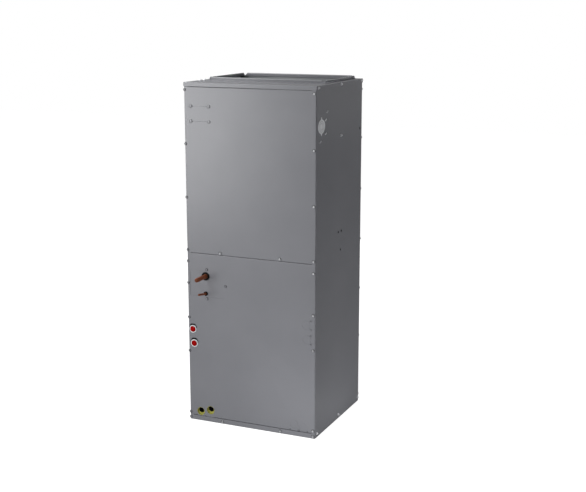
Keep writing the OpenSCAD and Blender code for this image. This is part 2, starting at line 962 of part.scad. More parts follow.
module on_wheel(x0, x1) {
    side_plate(x0, x1) translate([wheel_y, wheel_z]) children();
}

module blower_wheel() {
    color(galvanised) {
        on_wheel(-wheel_w / 2, wheel_w / 2)
            for (i = [0:blade_count - 1])
                rotate(360 * i / blade_count) blade_outline();
        for (x = [-wheel_w / 2, wheel_w / 2 - wheel_rim_t])
            on_wheel(x, x + wheel_rim_t)
                difference() {
                    circle(r = wheel_r);
                    circle(r = wheel_r - blade_depth / 2);
                }
        on_wheel(-sheet, sheet)
            difference() {
                circle(r = wheel_r - 0.5);
                circle(d = shaft_d + 2 * fit);
            }
        on_wheel(-12, -sheet)
            difference() {
                circle(d = hub_d);
                circle(d = shaft_d + 2 * fit);
            }
    }
}

motor_x0 = housing_w / 2 - motor_inset - motor_l;
shaft_end_x = -16;

module blower_motor() {
    color(pan_black) {
        on_wheel(motor_x0, motor_x0 + motor_l) circle(d = motor_d);
        on_wheel(shaft_end_x, motor_x0) circle(d = shaft_d);
    }
}

band_w = 30;
band_t = 2;
arm_w = 16;
arm_t = 3;

module motor_mount() {
    arm_reach = inlet_r + 14;
    band_x1 = housing_w / 2 + arm_t;
    band_r = motor_d / 2 + fit;
    color(galvanised) {
        on_wheel(band_x1 - band_w, band_x1)
            difference() {
                circle(r = band_r + band_t);
                circle(r = band_r);
            }
        on_wheel(housing_w / 2, band_x1)
            for (angle = [90, 210, 330])
                rotate(angle)
                    translate([band_r + band_t / 2, -arm_w / 2]) square([arm_reach - band_r, arm_w]);
    }
}

// Front view of the right-hand coil slab, leaning in to the top
module slab_outline() {
    polygon([
        [coil_foot_x, pan_floor_z],
        [coil_foot_x + slab_t, pan_floor_z],
        [coil_top_x + slab_t, coil_top_z],
        [coil_top_x, coil_top_z]
    ]);
}

module coil_slab_right() {
    color(fin_metal) front_plate(coil_y0, coil_l) slab_outline();
}

module coil_slab_left() {
    color(fin_metal) mirror([1, 0, 0]) coil_slab_right();
}

// Plate that closes one end of the space between the slabs
module coil_end(y) {
    color(galvanised)
        front_plate(y, sheet)
            polygon([
                [-coil_foot_x + fit, pan_floor_z],
                [coil_foot_x - fit, pan_floor_z],
                [coil_top_x - fit, coil_top_z],
                [-coil_top_x + fit, coil_top_z]
            ]);
}

module coil_end_front() {
    coil_end(coil_y0);
}

module coil_end_back() {
    coil_end(coil_y1 - sheet);
}

module coil_apex_cap() {
    cap_x = coil_top_x + slab_t;
    color(galvanised)
        block(-cap_x, coil_y0, coil_top_z, cap_x, coil_y1, coil_top_z + sheet);
}

module drain_pan() {
    inner_x = pan_x - pan_trough;
    inner_y0 = pan_y0 + pan_end_trough;
    inner_y1 = pan_y1 - pan_end_trough;
    wall = pan_wall;
    color(pan_black)
        difference() {
            block(-pan_x, pan_y0, pan_z, pan_x, pan_y1, pan_z + pan_h);
            difference() {
                block(-pan_x + wall, pan_y0 + wall, pan_floor_z,
                      pan_x - wall, pan_y1 - wall, pan_z + pan_h + 1);
                block(-inner_x - wall, inner_y0 - wall, pan_z,
                      inner_x + wall, inner_y1 + wall, pan_z + pan_h / 2);
            }
            block(-inner_x, inner_y0, pan_z - 1, inner_x, inner_y1, pan_z + pan_h + 1);
        }
}

module side_drain_pan() {
    wall = pan_wall;
    side_pan_y1 = liner_back_y - liner_t;
    side_pan_top = side_pan_z + side_pan_h;
    color(pan_black)
        difference() {
            block(side_pan_x, pan_front_y, side_pan_z, side_pan_x + side_pan_t, side_pan_y1, side_pan_top);
            block(side_pan_x + wall, pan_front_y + wall, side_pan_z + wall,
                  side_pan_x + side_pan_t + 1, side_pan_y1 - wall, side_pan_top - wall);
        }
}

left_side_panel();
right_side_panel();
back_panel();
top_cap();
upper_front_panel();
lower_front_panel();
front_base_strip();
base_frame();
mid_rail();
line_set_plate();
suction_grommet();
liquid_grommet();
suction_line();
liquid_line();
conduit_knockout();
cap_hole_plugs();
primary_drain_port();
overflow_drain_port();
upper_side_port();
lower_side_port();
upper_port_plug();
lower_port_plug();
left_liner();
right_liner();
back_liner();
front_liner();
blower_deck();
blower_housing();
blower_wheel();
blower_motor();
motor_mount();
coil_slab_left();
coil_slab_right();
coil_end_front();
coil_end_back();
coil_apex_cap();
drain_pan();
side_drain_pan();
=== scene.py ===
"""Dresses the air handling unit.

The CAD nodes get their paint, metal, copper and plastic finishes. Screws, buttons, ports, hems and coil
fins are modelled on them, and soft boxes and a camera at the photograph's angle are set up round the unit.
"""
import json
import math
import bpy
from mathutils import Matrix, Vector


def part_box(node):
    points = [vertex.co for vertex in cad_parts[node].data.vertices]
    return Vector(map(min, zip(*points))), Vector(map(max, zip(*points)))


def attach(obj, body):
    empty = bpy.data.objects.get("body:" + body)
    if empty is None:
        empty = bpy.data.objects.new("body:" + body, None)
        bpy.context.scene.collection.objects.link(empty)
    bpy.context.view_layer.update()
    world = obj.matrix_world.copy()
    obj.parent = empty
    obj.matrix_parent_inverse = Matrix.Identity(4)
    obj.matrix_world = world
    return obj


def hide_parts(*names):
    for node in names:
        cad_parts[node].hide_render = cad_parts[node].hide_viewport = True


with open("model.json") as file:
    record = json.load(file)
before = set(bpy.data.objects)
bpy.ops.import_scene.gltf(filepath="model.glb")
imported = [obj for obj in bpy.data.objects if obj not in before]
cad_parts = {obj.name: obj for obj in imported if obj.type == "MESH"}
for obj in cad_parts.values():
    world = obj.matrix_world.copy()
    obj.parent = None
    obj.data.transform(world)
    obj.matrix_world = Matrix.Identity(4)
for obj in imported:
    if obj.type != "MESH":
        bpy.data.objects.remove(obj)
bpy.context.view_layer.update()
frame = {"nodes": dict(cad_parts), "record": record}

# Places taken from the frame, in metres
FRONT_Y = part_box("upper_front_panel")[0].y
BACK_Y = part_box("back_panel")[1].y
RIGHT_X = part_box("right_side_panel")[1].x
LEFT_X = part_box("left_side_panel")[0].x
CAP_LOW, CAP_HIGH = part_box("top_cap")
DECK_LOW, DECK_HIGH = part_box("blower_deck")


# Turns

def facing(direction):
    """The turn that brings a piece's top round to the direction."""
    return Vector(direction).to_track_quat("Z", "Y").to_matrix().to_4x4()


UNTURNED = Matrix()
QUARTER_X = Matrix.Rotation(math.radians(90), 4, "X")
QUARTER_Z = Matrix.Rotation(math.radians(90), 4, "Z")
TO_FRONT = facing((0, -1, 0))
TO_BACK = facing((0, 1, 0))
TO_RIGHT = facing((1, 0, 0))
TO_LEFT = facing((-1, 0, 0))
UPWARD = facing((0, 0, 1))


# Materials

# Shares of a source pattern at which a colour ramp starts and ends
CLOUD_ENDS = (0.3, 0.7)
SPANGLE_ENDS = (0.1, 0.9)

CLOUD_DETAIL = 3.0
GRAIN_DETAIL = 2.0
GRAIN_STRENGTH = 0.35
GRAIN_ROUGHNESS = 0.04

SPANGLES_PER_METRE = 75.0
SPANGLE_STRENGTH = 0.2
SPANGLE_DEPTH = 0.0001
SPANGLE_ROUGHNESS = 0.1
SPANGLE_METALLIC = 0.85

# Painted shade on faces turned to the front: the Y of a face's normal where it is shaded in full, and where
# the shade ends
FRONT_PAINTED_SHADE_ENDS = (-0.9, -0.5)
# How dark the painted shade makes the copper's faces that look to the front
STUB_END_PAINTED_SHADE = 0.45

# Painted shade in the knock-out's score rings: the rings' radii, their half width and how dark the shade is
KNOCKOUT_RINGS = (0.0139, 0.0226)
RING_HALF_WIDTH = 0.0018
RING_PAINTED_SHADE = 0.74


def new_finish(name):
    """A fresh node material, its tree and its Principled shader."""
    finish = bpy.data.materials.new(name)
    finish.use_nodes = True
    return finish, finish.node_tree, finish.node_tree.nodes["Principled BSDF"]


def object_pattern(tree, kind, **values):
    """A texture node of the given kind, read from the piece's own coordinates in metres."""
    place = tree.nodes.new("ShaderNodeTexCoord")
    pattern = tree.nodes.new(kind)
    for name, value in values.items():
        pattern.inputs[name].default_value = value
    tree.links.new(place.outputs["Object"], pattern.inputs["Vector"])
    return pattern


def tone_ramp(tree, source, low, high, ends):
    """A colour that runs from low to high as the source value runs between the ends."""
    ramp = tree.nodes.new("ShaderNodeValToRGB")
    for element, place, colour in zip(ramp.color_ramp.elements, ends, (low, high)):
        element.position = place
        element.color = (*colour, 1)
    tree.links.new(source, ramp.inputs["Fac"])
    return ramp.outputs["Color"]


def value_range(tree, source, low, high, ends=(0.0, 1.0)):
    """A value that runs from low to high as the source value runs between the ends."""
    spread = tree.nodes.new("ShaderNodeMapRange")
    spread.inputs["From Min"].default_value = ends[0]
    spread.inputs["From Max"].default_value = ends[1]
    spread.inputs["To Min"].default_value = low
    spread.inputs["To Max"].default_value = high
    tree.links.new(source, spread.inputs["Value"])
    return spread.outputs["Result"]


def add_bump(tree, shader, source, strength, depth):
    """Raises the surface by the source value; depth is in metres."""
    bump = tree.nodes.new("ShaderNodeBump")
    bump.inputs["Strength"].default_value = strength
    bump.inputs["Distance"].default_value = depth
    tree.links.new(source, bump.inputs["Height"])
    tree.links.new(bump.outputs["Normal"], shader.inputs["Normal"])


def grained_finish(name, low, high, roughness, grain_size, grain_depth, metallic=0.0, cloud_size=0.25,
                   specular=0.5):
    """Colour that drifts slowly over the surface, with a fine grain; sizes are in metres."""
    finish, tree, shader = new_finish(name)
    cloud = object_pattern(tree, "ShaderNodeTexNoise", Scale=1 / cloud_size, Detail=CLOUD_DETAIL)
    grain = object_pattern(tree, "ShaderNodeTexNoise", Scale=1 / grain_size, Detail=GRAIN_DETAIL)
    colour = tone_ramp(tree, cloud.outputs["Fac"], low, high, CLOUD_ENDS)
    gloss = value_range(tree, grain.outputs["Fac"],
                        roughness - GRAIN_ROUGHNESS, roughness + GRAIN_ROUGHNESS)
    tree.links.new(colour, shader.inputs["Base Color"])
    tree.links.new(gloss, shader.inputs["Roughness"])
    add_bump(tree, shader, grain.outputs["Fac"], GRAIN_STRENGTH, grain_depth)
    shader.inputs["Metallic"].default_value = metallic
    shader.inputs["Specular IOR Level"].default_value = specular
    return finish


def spangled_zinc(name, low, high, roughness):
    """Galvanised steel with crystal spangle."""
    finish, tree, shader = new_finish(name)
    spangle = object_pattern(tree, "ShaderNodeTexVoronoi", Scale=SPANGLES_PER_METRE, Randomness=1.0)
    grey = tree.nodes.new("ShaderNodeRGBToBW")
    tree.links.new(spangle.outputs["Color"], grey.inputs["Color"])
    colour = tone_ramp(tree, grey.outputs["Val"], low, high, SPANGLE_ENDS)
    gloss = value_range(tree, grey.outputs["Val"],
                        roughness - SPANGLE_ROUGHNESS, roughness + SPANGLE_ROUGHNESS)
    tree.links.new(colour, shader.inputs["Base Color"])
    tree.links.new(gloss, shader.inputs["Roughness"])
    add_bump(tree, shader, spangle.outputs["Distance"], SPANGLE_STRENGTH, SPANGLE_DEPTH)
    shader.inputs["Metallic"].default_value = SPANGLE_METALLIC
    return finish


def add_shade(tree):
    """A multiply node between the shader's colour and what fed it."""
    colour = tree.nodes["Principled BSDF"].inputs["Base Color"]
    shade = tree.nodes.new("ShaderNodeMixRGB")
    shade.blend_type = "MULTIPLY"
    tree.links.new(colour.links[0].from_socket, shade.inputs["Color1"])
    tree.links.new(shade.outputs["Color"], colour)
    return shade


def paint_front_shade(finish, dark):
    """Paints shade on the faces of a finish that look to the front, such as the ends of the stubs, by the
    way they face.
    """
    tree = finish.node_tree
    turn = tree.nodes.new("ShaderNodeTexCoord")
    axes = tree.nodes.new("ShaderNodeSeparateXYZ")
    tree.links.new(turn.outputs["Normal"], axes.inputs["Vector"])
    shade = add_shade(tree)
    shade.inputs["Fac"].default_value = 1.0
    tree.links.new(value_range(tree, axes.outputs["Y"], dark, 1.0, FRONT_PAINTED_SHADE_ENDS), shade.inputs["Color2"])


def paint_ring_shade(finish, node, rings, dark):
    """Paints shade into a finish along score rings in the YZ plane, about the middle of the node, for the
    shade in the rings' grooves.
    """
    tree = finish.node_tree
    low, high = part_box(node)
    middle = (low + high) / 2
    place = tree.nodes.new("ShaderNodeTexCoord")
    flat = tree.nodes.new("ShaderNodeMapping")
    flat.inputs["Location"].default_value = (0, -middle.y, -middle.z)
    flat.inputs["Scale"].default_value = (0, 1, 1)
    reach = tree.nodes.new("ShaderNodeVectorMath")
    reach.operation = "LENGTH"
    tree.links.new(place.outputs["Object"], flat.inputs["Vector"])
    tree.links.new(flat.outputs["Vector"], reach.inputs[0])
    for radius in rings:
        band = tree.nodes.new("ShaderNodeMath")
        band.operation = "COMPARE"
        band.inputs[1].default_value = radius
        band.inputs[2].default_value = RING_HALF_WIDTH
        tree.links.new(reach.outputs["Value"], band.inputs[0])
        shade = add_shade(tree)
        shade.inputs["Color2"].default_value = (dark, dark, dark, 1)
        tree.links.new(band.outputs["Value"], shade.inputs["Fac"])


PAINT = grained_finish("satin_grey_paint", (0.216, 0.2195, 0.240), (0.234, 0.2375, 0.258), roughness=0.26,
                       grain_size=0.0014, grain_depth=0.00007, specular=0.56)
# Lighter grey paint: a painted highlight, on the flanges' hems and on the buttons' domes
HIGHLIGHT_PAINT = grained_finish("paint_with_painted_highlight", (0.31, 0.315, 0.335), (0.35, 0.355, 0.375), roughness=0.3,
                           grain_size=0.0014, grain_depth=0.00007)
ZINC = spangled_zinc("galvanised_steel", (0.40, 0.42, 0.43), (0.58, 0.60, 0.61), roughness=0.38)
SCREW_ZINC = grained_finish("zinc_plate", (0.54, 0.55, 0.565), (0.68, 0.69, 0.71), roughness=0.34,
                            grain_size=0.0006, grain_depth=0.00004, metallic=0.6, cloud_size=0.02)
# Near-white zinc: the light tone of bare zinc, raised further as a painted sheen of the bare metal; the
# knock-out gets its own copy
SHEEN_PAINTED_ZINC, KNOCKOUT_ZINC = (
    grained_finish(name, (0.90, 0.91, 0.94), (0.94, 0.95, 0.98), roughness=0.4,
                   grain_size=0.0012, grain_depth=0.00005, metallic=0.1, cloud_size=0.05)
    for name in ("zinc_with_painted_sheen", "zinc_with_painted_ring_shade"))
# Painted shade in the conduit knock-out's score rings
paint_ring_shade(KNOCKOUT_ZINC, "conduit_knockout", KNOCKOUT_RINGS, RING_PAINTED_SHADE)
COPPER = grained_finish("dull_copper", (0.25, 0.072, 0.030), (0.37, 0.110, 0.046), roughness=0.45,
                        grain_size=0.0016, grain_depth=0.00006, metallic=0.2, cloud_size=0.02, specular=0.25)
# Painted shade on the copper's faces that look to the front, the stub ends among them
paint_front_shade(COPPER, STUB_END_PAINTED_SHADE)
RUBBER = grained_finish("black_rubber", (0.004, 0.004, 0.004), (0.009, 0.009, 0.009), roughness=0.75,
                        grain_size=0.0009, grain_depth=0.00006, specular=0.15)
# Dark grey for the buttons' rims: a painted shadow ring round each button
SHADOW_RING_GREY = grained_finish("painted_shadow_grey", (0.085, 0.086, 0.09), (0.105, 0.106, 0.11), roughness=0.7,
                        grain_size=0.0009, grain_depth=0.00006, specular=0.15)
YELLOW = grained_finish("yellow_plastic", (0.37, 0.36, 0.078), (0.45, 0.43, 0.106), roughness=0.5,
                        grain_size=0.0012, grain_depth=0.00006, specular=0.2)
WHITE = grained_finish("white_plastic", (0.72, 0.76, 0.78), (0.79, 0.83, 0.85), roughness=0.42,
                       grain_size=0.0012, grain_depth=0.00005)
RED = grained_finish("red_plastic", (0.31, 0.001, 0.001), (0.37, 0.001, 0.001), roughness=0.55,
                     grain_size=0.0014, grain_depth=0.00005, cloud_size=0.02, specular=0.06)
FOIL = grained_finish("foil_faced_liner", (0.20, 0.21, 0.22), (0.30, 0.31, 0.32), roughness=0.45,
                      grain_size=0.009, grain_depth=0.0012, metallic=0.5)
FIN = grained_finish("fin_aluminium", (0.42, 0.44, 0.45), (0.54, 0.56, 0.57), roughness=0.36,
                     grain_size=0.0018, grain_depth=0.0002, metallic=0.85)
PAN = grained_finish("black_pan_plastic", (0.012, 0.012, 0.013), (0.020, 0.020, 0.021), roughness=0.5,
                     grain_size=0.0015, grain_depth=0.00008)
MOTOR = grained_finish("motor_enamel", (0.016, 0.016, 0.018), (0.026, 0.026, 0.028), roughness=0.4,
                       grain_size=0.0015, grain_depth=0.00008)

SLOT_FINISH = {
    "cabinet_paint": PAINT,
    "galvanised_steel": ZINC,
    "copper_tube": COPPER,
    "black_rubber": RUBBER,
    "yellow_plastic": YELLOW,
    "white_plastic": WHITE,
    "red_plastic": RED,
    "liner_foil": FOIL,
    "fin_aluminium": FIN,
    "pan_plastic": PAN,
    "motor_black": MOTOR,
}
NODE_FINISH = {
    "conduit_knockout": KNOCKOUT_ZINC,
    "cap_hole_plugs": SHEEN_PAINTED_ZINC,
}


def dress_nodes():
    """Gives every CAD node its own finish or that of its record slot."""
    for part in frame["record"]["subparts"]:
        node = frame["nodes"][part["node"]]
        paint_piece(node, NODE_FINISH.get(part["node"], SLOT_FINISH[part["material_slot"]]))


# Modelling helpers

SHEET_T = 0.0012
# Play between a plate and the round piece in its hole
FILLER_FIT = 0.0001
CUTTER_L = 0.02
SMOOTH_ANGLE = 35
# A face counts as a top or a foot when its normal is this near to the Z axis
UPRIGHT = 0.9


def deselect_all():
    """Leaves nothing selected."""
    for item in bpy.context.selected_objects:
        item.select_set(False)


def round_blank(radius, height, z=0.0, sides=24):
    """An upright round or many-sided blank on the Z axis, with its foot at z."""
    deselect_all()
    bpy.ops.mesh.primitive_cylinder_add(vertices=sides, radius=radius, depth=height,
                                        location=(0, 0, z + height / 2))
    bpy.ops.object.transform_apply(location=True)
    return bpy.context.object


def block_blank(size, z=0.0):
    """A block of the given size, with its middle on the Z axis at z."""
    deselect_all()
    bpy.ops.mesh.primitive_cube_add(size=1, location=(0, 0, z))
    block = bpy.context.object
    block.scale = size
    bpy.ops.object.transform_apply(location=True, scale=True)
    return block


def is_top(face):
    """Whether a face looks up."""
    return face.normal.z > UPRIGHT


def is_foot(face):
    """Whether a face looks down."""
    return face.normal.z < -UPRIGHT


def pick_faces(piece, wanted):
    """Opens the piece in edit mode with only the wanted faces selected."""
    bpy.context.view_layer.objects.active = piece
    bpy.ops.object.mode_set(mode="EDIT")
    bpy.ops.mesh.select_mode(type="FACE")
    bpy.ops.mesh.select_all(action="DESELECT")
    bpy.ops.object.mode_set(mode="OBJECT")
    for face in piece.data.polygons:
        face.select = wanted(face)
    bpy.ops.object.mode_set(mode="EDIT")


def push_face(z, scale=1.0):
    """Extrudes the selected face by z along the Z axis and then scales it about that axis."""
    bpy.ops.mesh.extrude_region_move(TRANSFORM_OT_translate={"value": (0, 0, z)})
    if scale != 1.0:
        bpy.ops.transform.resize(value=(scale, scale, 1))


def close_edit():
    """Goes back from edit mode."""
    bpy.ops.object.mode_set(mode="OBJECT")


def round_edges(piece, width, segments=2):
    """Bevels every edge of the piece."""
    edge = piece.modifiers.new("edge", "BEVEL")
    edge.width = width
    edge.segments = segments
    bpy.context.view_layer.objects.active = piece
    bpy.ops.object.modifier_apply(modifier=edge.name)


def cut_round(plate, radius, z=0.0):
    """Cuts a round hole through an upright plate that faces along Y, at height z."""
    cutter = round_blank(radius, CUTTER_L, -CUTTER_L / 2, sides=96)
    seat(cutter, (0, 0, z), QUARTER_X)
    cut = plate.modifiers.new("round_hole", "BOOLEAN")
    cut.operation = "DIFFERENCE"
    cut.object = cutter
    bpy.context.view_layer.objects.active = plate
    bpy.ops.object.modifier_apply(modifier=cut.name)
    bpy.data.objects.remove(cutter)


def paint_piece(piece, finish):
    """Gives the whole piece one finish."""
    piece.data.materials.clear()
    piece.data.materials.append(finish)


def seat(piece, place, turn=UNTURNED):
    """Turns the piece's mesh and moves it to its place."""
    piece.data.transform(Matrix.Translation(place) @ turn)


def join_pieces(pieces):
    """Joins the pieces into the first one."""
    deselect_all()
    for piece in pieces:
        piece.select_set(True)
    bpy.context.view_layer.objects.active = pieces[0]
    bpy.ops.object.join()
    return bpy.context.object


def finish_piece(piece, name, smooth_angle=SMOOTH_ANGLE):
    """Names a piece, smooths its round faces and fixes it to the unit."""
    deselect_all()
    piece.select_set(True)
    bpy.context.view_layer.objects.active = piece
    piece.name = name
    piece.data.name = name
    bpy.ops.object.shade_smooth_by_angle(angle=math.radians(smooth_angle))
    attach(piece, "root")
    return piece


def copied(pattern, name, place, turn):
    """A copy of the pattern with its own mesh, turned and seated at the place."""
    item = bpy.data.objects.new(name, pattern.data.copy())
    seat(item, place, turn)
    bpy.context.collection.objects.link(item)
    return item


def set_out(pattern, name, places, turn):
    """Copies of the pattern at the places, as one piece."""
    copies = [copied(pattern, name, place, turn) for place in places]
    return finish_piece(join_pieces(copies), name)


def port_circle(node):
    """Middle and outside radius of a round port that faces the front."""
    low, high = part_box(node)
    return (low + high) / 2, (high.x - low.x) / 2


def set_mouldings(pattern, nodes, y, rise=0.0, smooth_angle=SMOOTH_ANGLE):
    """Copies of the pattern in place of CAD ports, with their mouths at y, raised by rise."""
    for node in nodes:
        middle = port_circle(node)[0]
        name = f"{node}_moulding"
        piece = copied(pattern, name, (middle.x, y, middle.z + rise), TO_FRONT)
        finish_piece(piece, name, smooth_angle)
        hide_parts(node)
    bpy.data.objects.remove(pattern)


# Screws

WASHER_T = 0.0011
WASHER_EDGE = 0.4
HEX_R = 0.0041
HEX_RIM = 0.22
HEX_DISH = 0.15
HEX_DISH_TAPER = 0.92
HEX_EDGE = 0.10
DEEP_HEX_H = 0.0040
FLAT_HEX_H = 0.0018
SMALL_WASHER_R = 0.0048
PAINTED_WASHER_R = 0.0051
WIDE_WASHER_R = 0.0062
# Black sealing washers, set off the screw's axis so that their black also paints the shade on one side of
# each head: radius, thickness and shift from the screw's axis
PAINT_HEAD_SEAL_AND_SHADE = (0.0065, 0.0008, (-0.0005, 0.0))
ZINC_SEAL_AND_SHADE = (0.0062, 0.0012, (-0.0011, 0.0007))

LEFT_SCREW_INSET = 0.0045
RIGHT_SCREW_INSET = 0.0095
UPPER_SCREW_Z = (1.505, 1.270, 1.0335, 0.797)
LOWER_LEFT_SCREW_Z = (0.745, 0.6457, 0.4853, 0.3281, 0.0354)
LOWER_RIGHT_SCREW_Z = (0.745, 0.560, 0.4028, 0.0355)
STRIP_SCREW_Z = 0.0105
SEAM_SCREW_Z = 0.7935
INNER_SCREW_X = 0.144
SKIRT_SCREW_Z = 1.5285
FOOT_SCREW_Z = 0.019
SIDE_SCREW_Y = (-0.250, 0.006, 0.257)
MID_SIDE_SCREW = (0.010, 1.306)
BACK_SCREW_Z = (1.490, 1.270, 1.0335, 0.797, 0.560, 0.328, 0.035)
PLATE_SCREWS = ((-0.2136, 0.713), (-0.1203, 0.646), (-0.2136, 0.5797))
DECK_SCREW_INSET = 0.022


def hex_screw(finish, washer_r, hex_h, seal_and_shade=None):
    """One hex washer-head screw, standing on the XY plane with its head up, on a black seal if one is given,
    whose shift off the axis paints shade on one side of the head.
    """
    ring_r, ring_t, shade_shift = seal_and_shade or (0.0, 0.0, (0.0, 0.0))
    washer = round_blank(washer_r, WASHER_T, ring_t)
    round_edges(washer, WASHER_T * WASHER_EDGE)
    paint_piece(washer, finish)
    head = round_blank(HEX_R, hex_h, ring_t + WASHER_T, sides=6)
    pick_faces(head, is_top)
    bpy.ops.mesh.inset(thickness=HEX_R * HEX_RIM)
    push_face(-hex_h * HEX_DISH, HEX_DISH_TAPER)
    close_edit()
    round_edges(head, HEX_R * HEX_EDGE)
    paint_piece(head, finish)
    pieces = [washer, head]
    if seal_and_shade:
        # The black seal is partly a sealing washer and partly painted shade beside the head
        ring = round_blank(ring_r, ring_t)
        round_edges(ring, ring_t * WASHER_EDGE)
        seat(ring, (*shade_shift, 0))
        paint_piece(ring, RUBBER)
        pieces.append(ring)
    return join_pieces(pieces)


def add_screws():
    """All the screws that show: front edges, line set plate, sides, back and blower deck."""
    painted = hex_screw(PAINT, PAINTED_WASHER_R, FLAT_HEX_H, PAINT_HEAD_SEAL_AND_SHADE)
    sealed = hex_screw(SCREW_ZINC, SMALL_WASHER_R, DEEP_HEX_H, ZINC_SEAL_AND_SHADE)
    screw = hex_screw(SHEEN_PAINTED_ZINC, WIDE_WASHER_R, DEEP_HEX_H)

    left = LEFT_X + LEFT_SCREW_INSET
    edge = [(left, FRONT_Y, z) for z in (*UPPER_SCREW_Z, *LOWER_LEFT_SCREW_Z, STRIP_SCREW_Z)]
    edge += [(x, FRONT_Y, z) for x, z in PLATE_SCREWS]
    set_out(painted, "front_left_screws", edge, TO_FRONT)

    right = RIGHT_X - RIGHT_SCREW_INSET
    front = [(right, FRONT_Y, z) for z in (*UPPER_SCREW_Z, *LOWER_RIGHT_SCREW_Z, STRIP_SCREW_Z)]
    front += [(x, FRONT_Y, z) for x in (-INNER_SCREW_X, INNER_SCREW_X)
              for z in (STRIP_SCREW_Z, SEAM_SCREW_Z)]
    set_out(sealed, "front_right_screws", front, TO_FRONT)

    for name, face_x, skirt_x, turn in (("right", RIGHT_X, CAP_HIGH.x, TO_RIGHT),
                                        ("left", LEFT_X, CAP_LOW.x, TO_LEFT)):
        places = [(face_x, y, FOOT_SCREW_Z) for y in SIDE_SCREW_Y]
        places += [(skirt_x, y, SKIRT_SCREW_Z) for y in SIDE_SCREW_Y]
        places.append((face_x, *MID_SIDE_SCREW))
        set_out(screw, f"{name}_side_screws", places, turn)

    back = [(x, BACK_Y, z) for x in (left, -left) for z in BACK_SCREW_Z]
    set_out(screw, "back_screws", back, TO_BACK)

    deck_x = DECK_HIGH.x - DECK_SCREW_INSET
    deck_y = (DECK_LOW.y + DECK_SCREW_INSET, DECK_HIGH.y - DECK_SCREW_INSET)
    deck = [(x, y, DECK_HIGH.z) for x in (-deck_x, 0, deck_x) for y in deck_y]
    set_out(screw, "deck_screws", deck, UPWARD)

    for pattern in (painted, sealed, screw):
        bpy.data.objects.remove(pattern)


# Breaker knock-out

BREAKER_X = (-0.279, -0.191)
BREAKER_Z = (1.370, 1.435)

BUTTON_H = 0.0009
BUTTON_EDGE = BUTTON_H * 0.2
RIM_R = 0.0080
RIM_WELL = BUTTON_H * 0.6
DISH_R = 0.0073
DISH_H = BUTTON_H * 0.6
DISH_Z = BUTTON_H * 0.3
DOME_R = 0.0050
DOME_H = BUTTON_H * 0.5
DOME_Z = BUTTON_H * 0.7
# Steps that crown the dome: rise and taper
DOME_STEPS = ((BUTTON_H * 0.5, 0.80), (BUTTON_H * 0.2, 0.60))

SLIT_DEPTH = 0.0002
STRIP_SIZE = (0.0686, SHEET_T, 0.0008)
STRIP_EDGE = 0.0001


def add_breaker_buttons():
    """Snap-in buttons in the four corner holes of the breaker knock-out."""
    rim = round_blank(RIM_R, BUTTON_H, sides=32)
    pick_faces(rim, is_top)
    bpy.ops.mesh.inset(thickness=RIM_R - DISH_R)
    push_face(-RIM_WELL)
    close_edit()
    round_edges(rim, BUTTON_EDGE)
    # The rim takes the dark grey: a painted shadow ring round the button
    paint_piece(rim, SHADOW_RING_GREY)
    dish = round_blank(DISH_R, DISH_H, DISH_Z, sides=32)
    round_edges(dish, BUTTON_EDGE)
    paint_piece(dish, PAINT)
    dome = round_blank(DOME_R, DOME_H, DOME_Z, sides=32)
    pick_faces(dome, is_top)
    for rise, taper in DOME_STEPS:
        push_face(rise, taper)
    close_edit()
    # The dome takes the lighter paint: a painted highlight in the button's middle
    paint_piece(dome, HIGHLIGHT_PAINT)
    button = join_pieces([rim, dish, dome])
    places = [(x, FRONT_Y, z) for x in BREAKER_X for z in BREAKER_Z]
    set_out(button, "breaker_hole_buttons", places, TO_FRONT)
    bpy.data.objects.remove(button)


def add_slit_strips():
    """Painted strips that all but close the slits between the buttons."""
    strip = block_blank(STRIP_SIZE)
    round_edges(strip, STRIP_EDGE)
    paint_piece(strip, PAINT)
    places = [(sum(BREAKER_X) / 2, FRONT_Y + SLIT_DEPTH + SHEET_T / 2, z) for z in BREAKER_Z]
    set_out(strip, "breaker_slit_strips", places, UNTURNED)
    bpy.data.objects.remove(strip)


# Conduit knock-out and holes of the right side

LANCE_PLACES = ((-0.151, 1.423), (-0.168, 1.390), (-0.167, 1.3315), (-0.225, 1.3026))
LANCE_SIZE = (0.018, 0.0045, 0.0022)
LANCE_TAPER = (0.62, 0.9, 1)
LANCE_EDGE = 0.0005
LANCE_SLANT = Matrix.Rotation(math.radians(27), 4, "Z")

# Half width, half height and thickness of the oval rim
KNOCKOUT_RIM = (0.0380, 0.0302, 0.0008)
KNOCKOUT_RIM_EDGE = KNOCKOUT_RIM[2] * 0.3

SIDE_HOLES = ((0.243, 1.315), (-0.014, 0.879), (0.023, 0.879), (0.014, 0.795))
BUSH_R = 0.0048
BUSH_BORE_R = 0.0024
BUSH_T = 0.0008
BUSH_BORE_L = BUSH_T * 0.7
BUSH_EDGE = BUSH_T * 0.25


def add_wire_lances():
    """Lanced strips round the conduit knock-out, for wire ties."""
    lance = block_blank(LANCE_SIZE, LANCE_SIZE[2] / 2)
    pick_faces(lance, is_top)
    bpy.ops.transform.resize(value=LANCE_TAPER)
    close_edit()
    round_edges(lance, LANCE_EDGE)
    # The near-white zinc is partly a painted sheen on the lances
    paint_piece(lance, SHEEN_PAINTED_ZINC)
    places = [(RIGHT_X, y, z) for y, z in LANCE_PLACES]
    set_out(lance, "wire_lances", places, QUARTER_Z @ QUARTER_X @ LANCE_SLANT)
    bpy.data.objects.remove(lance)


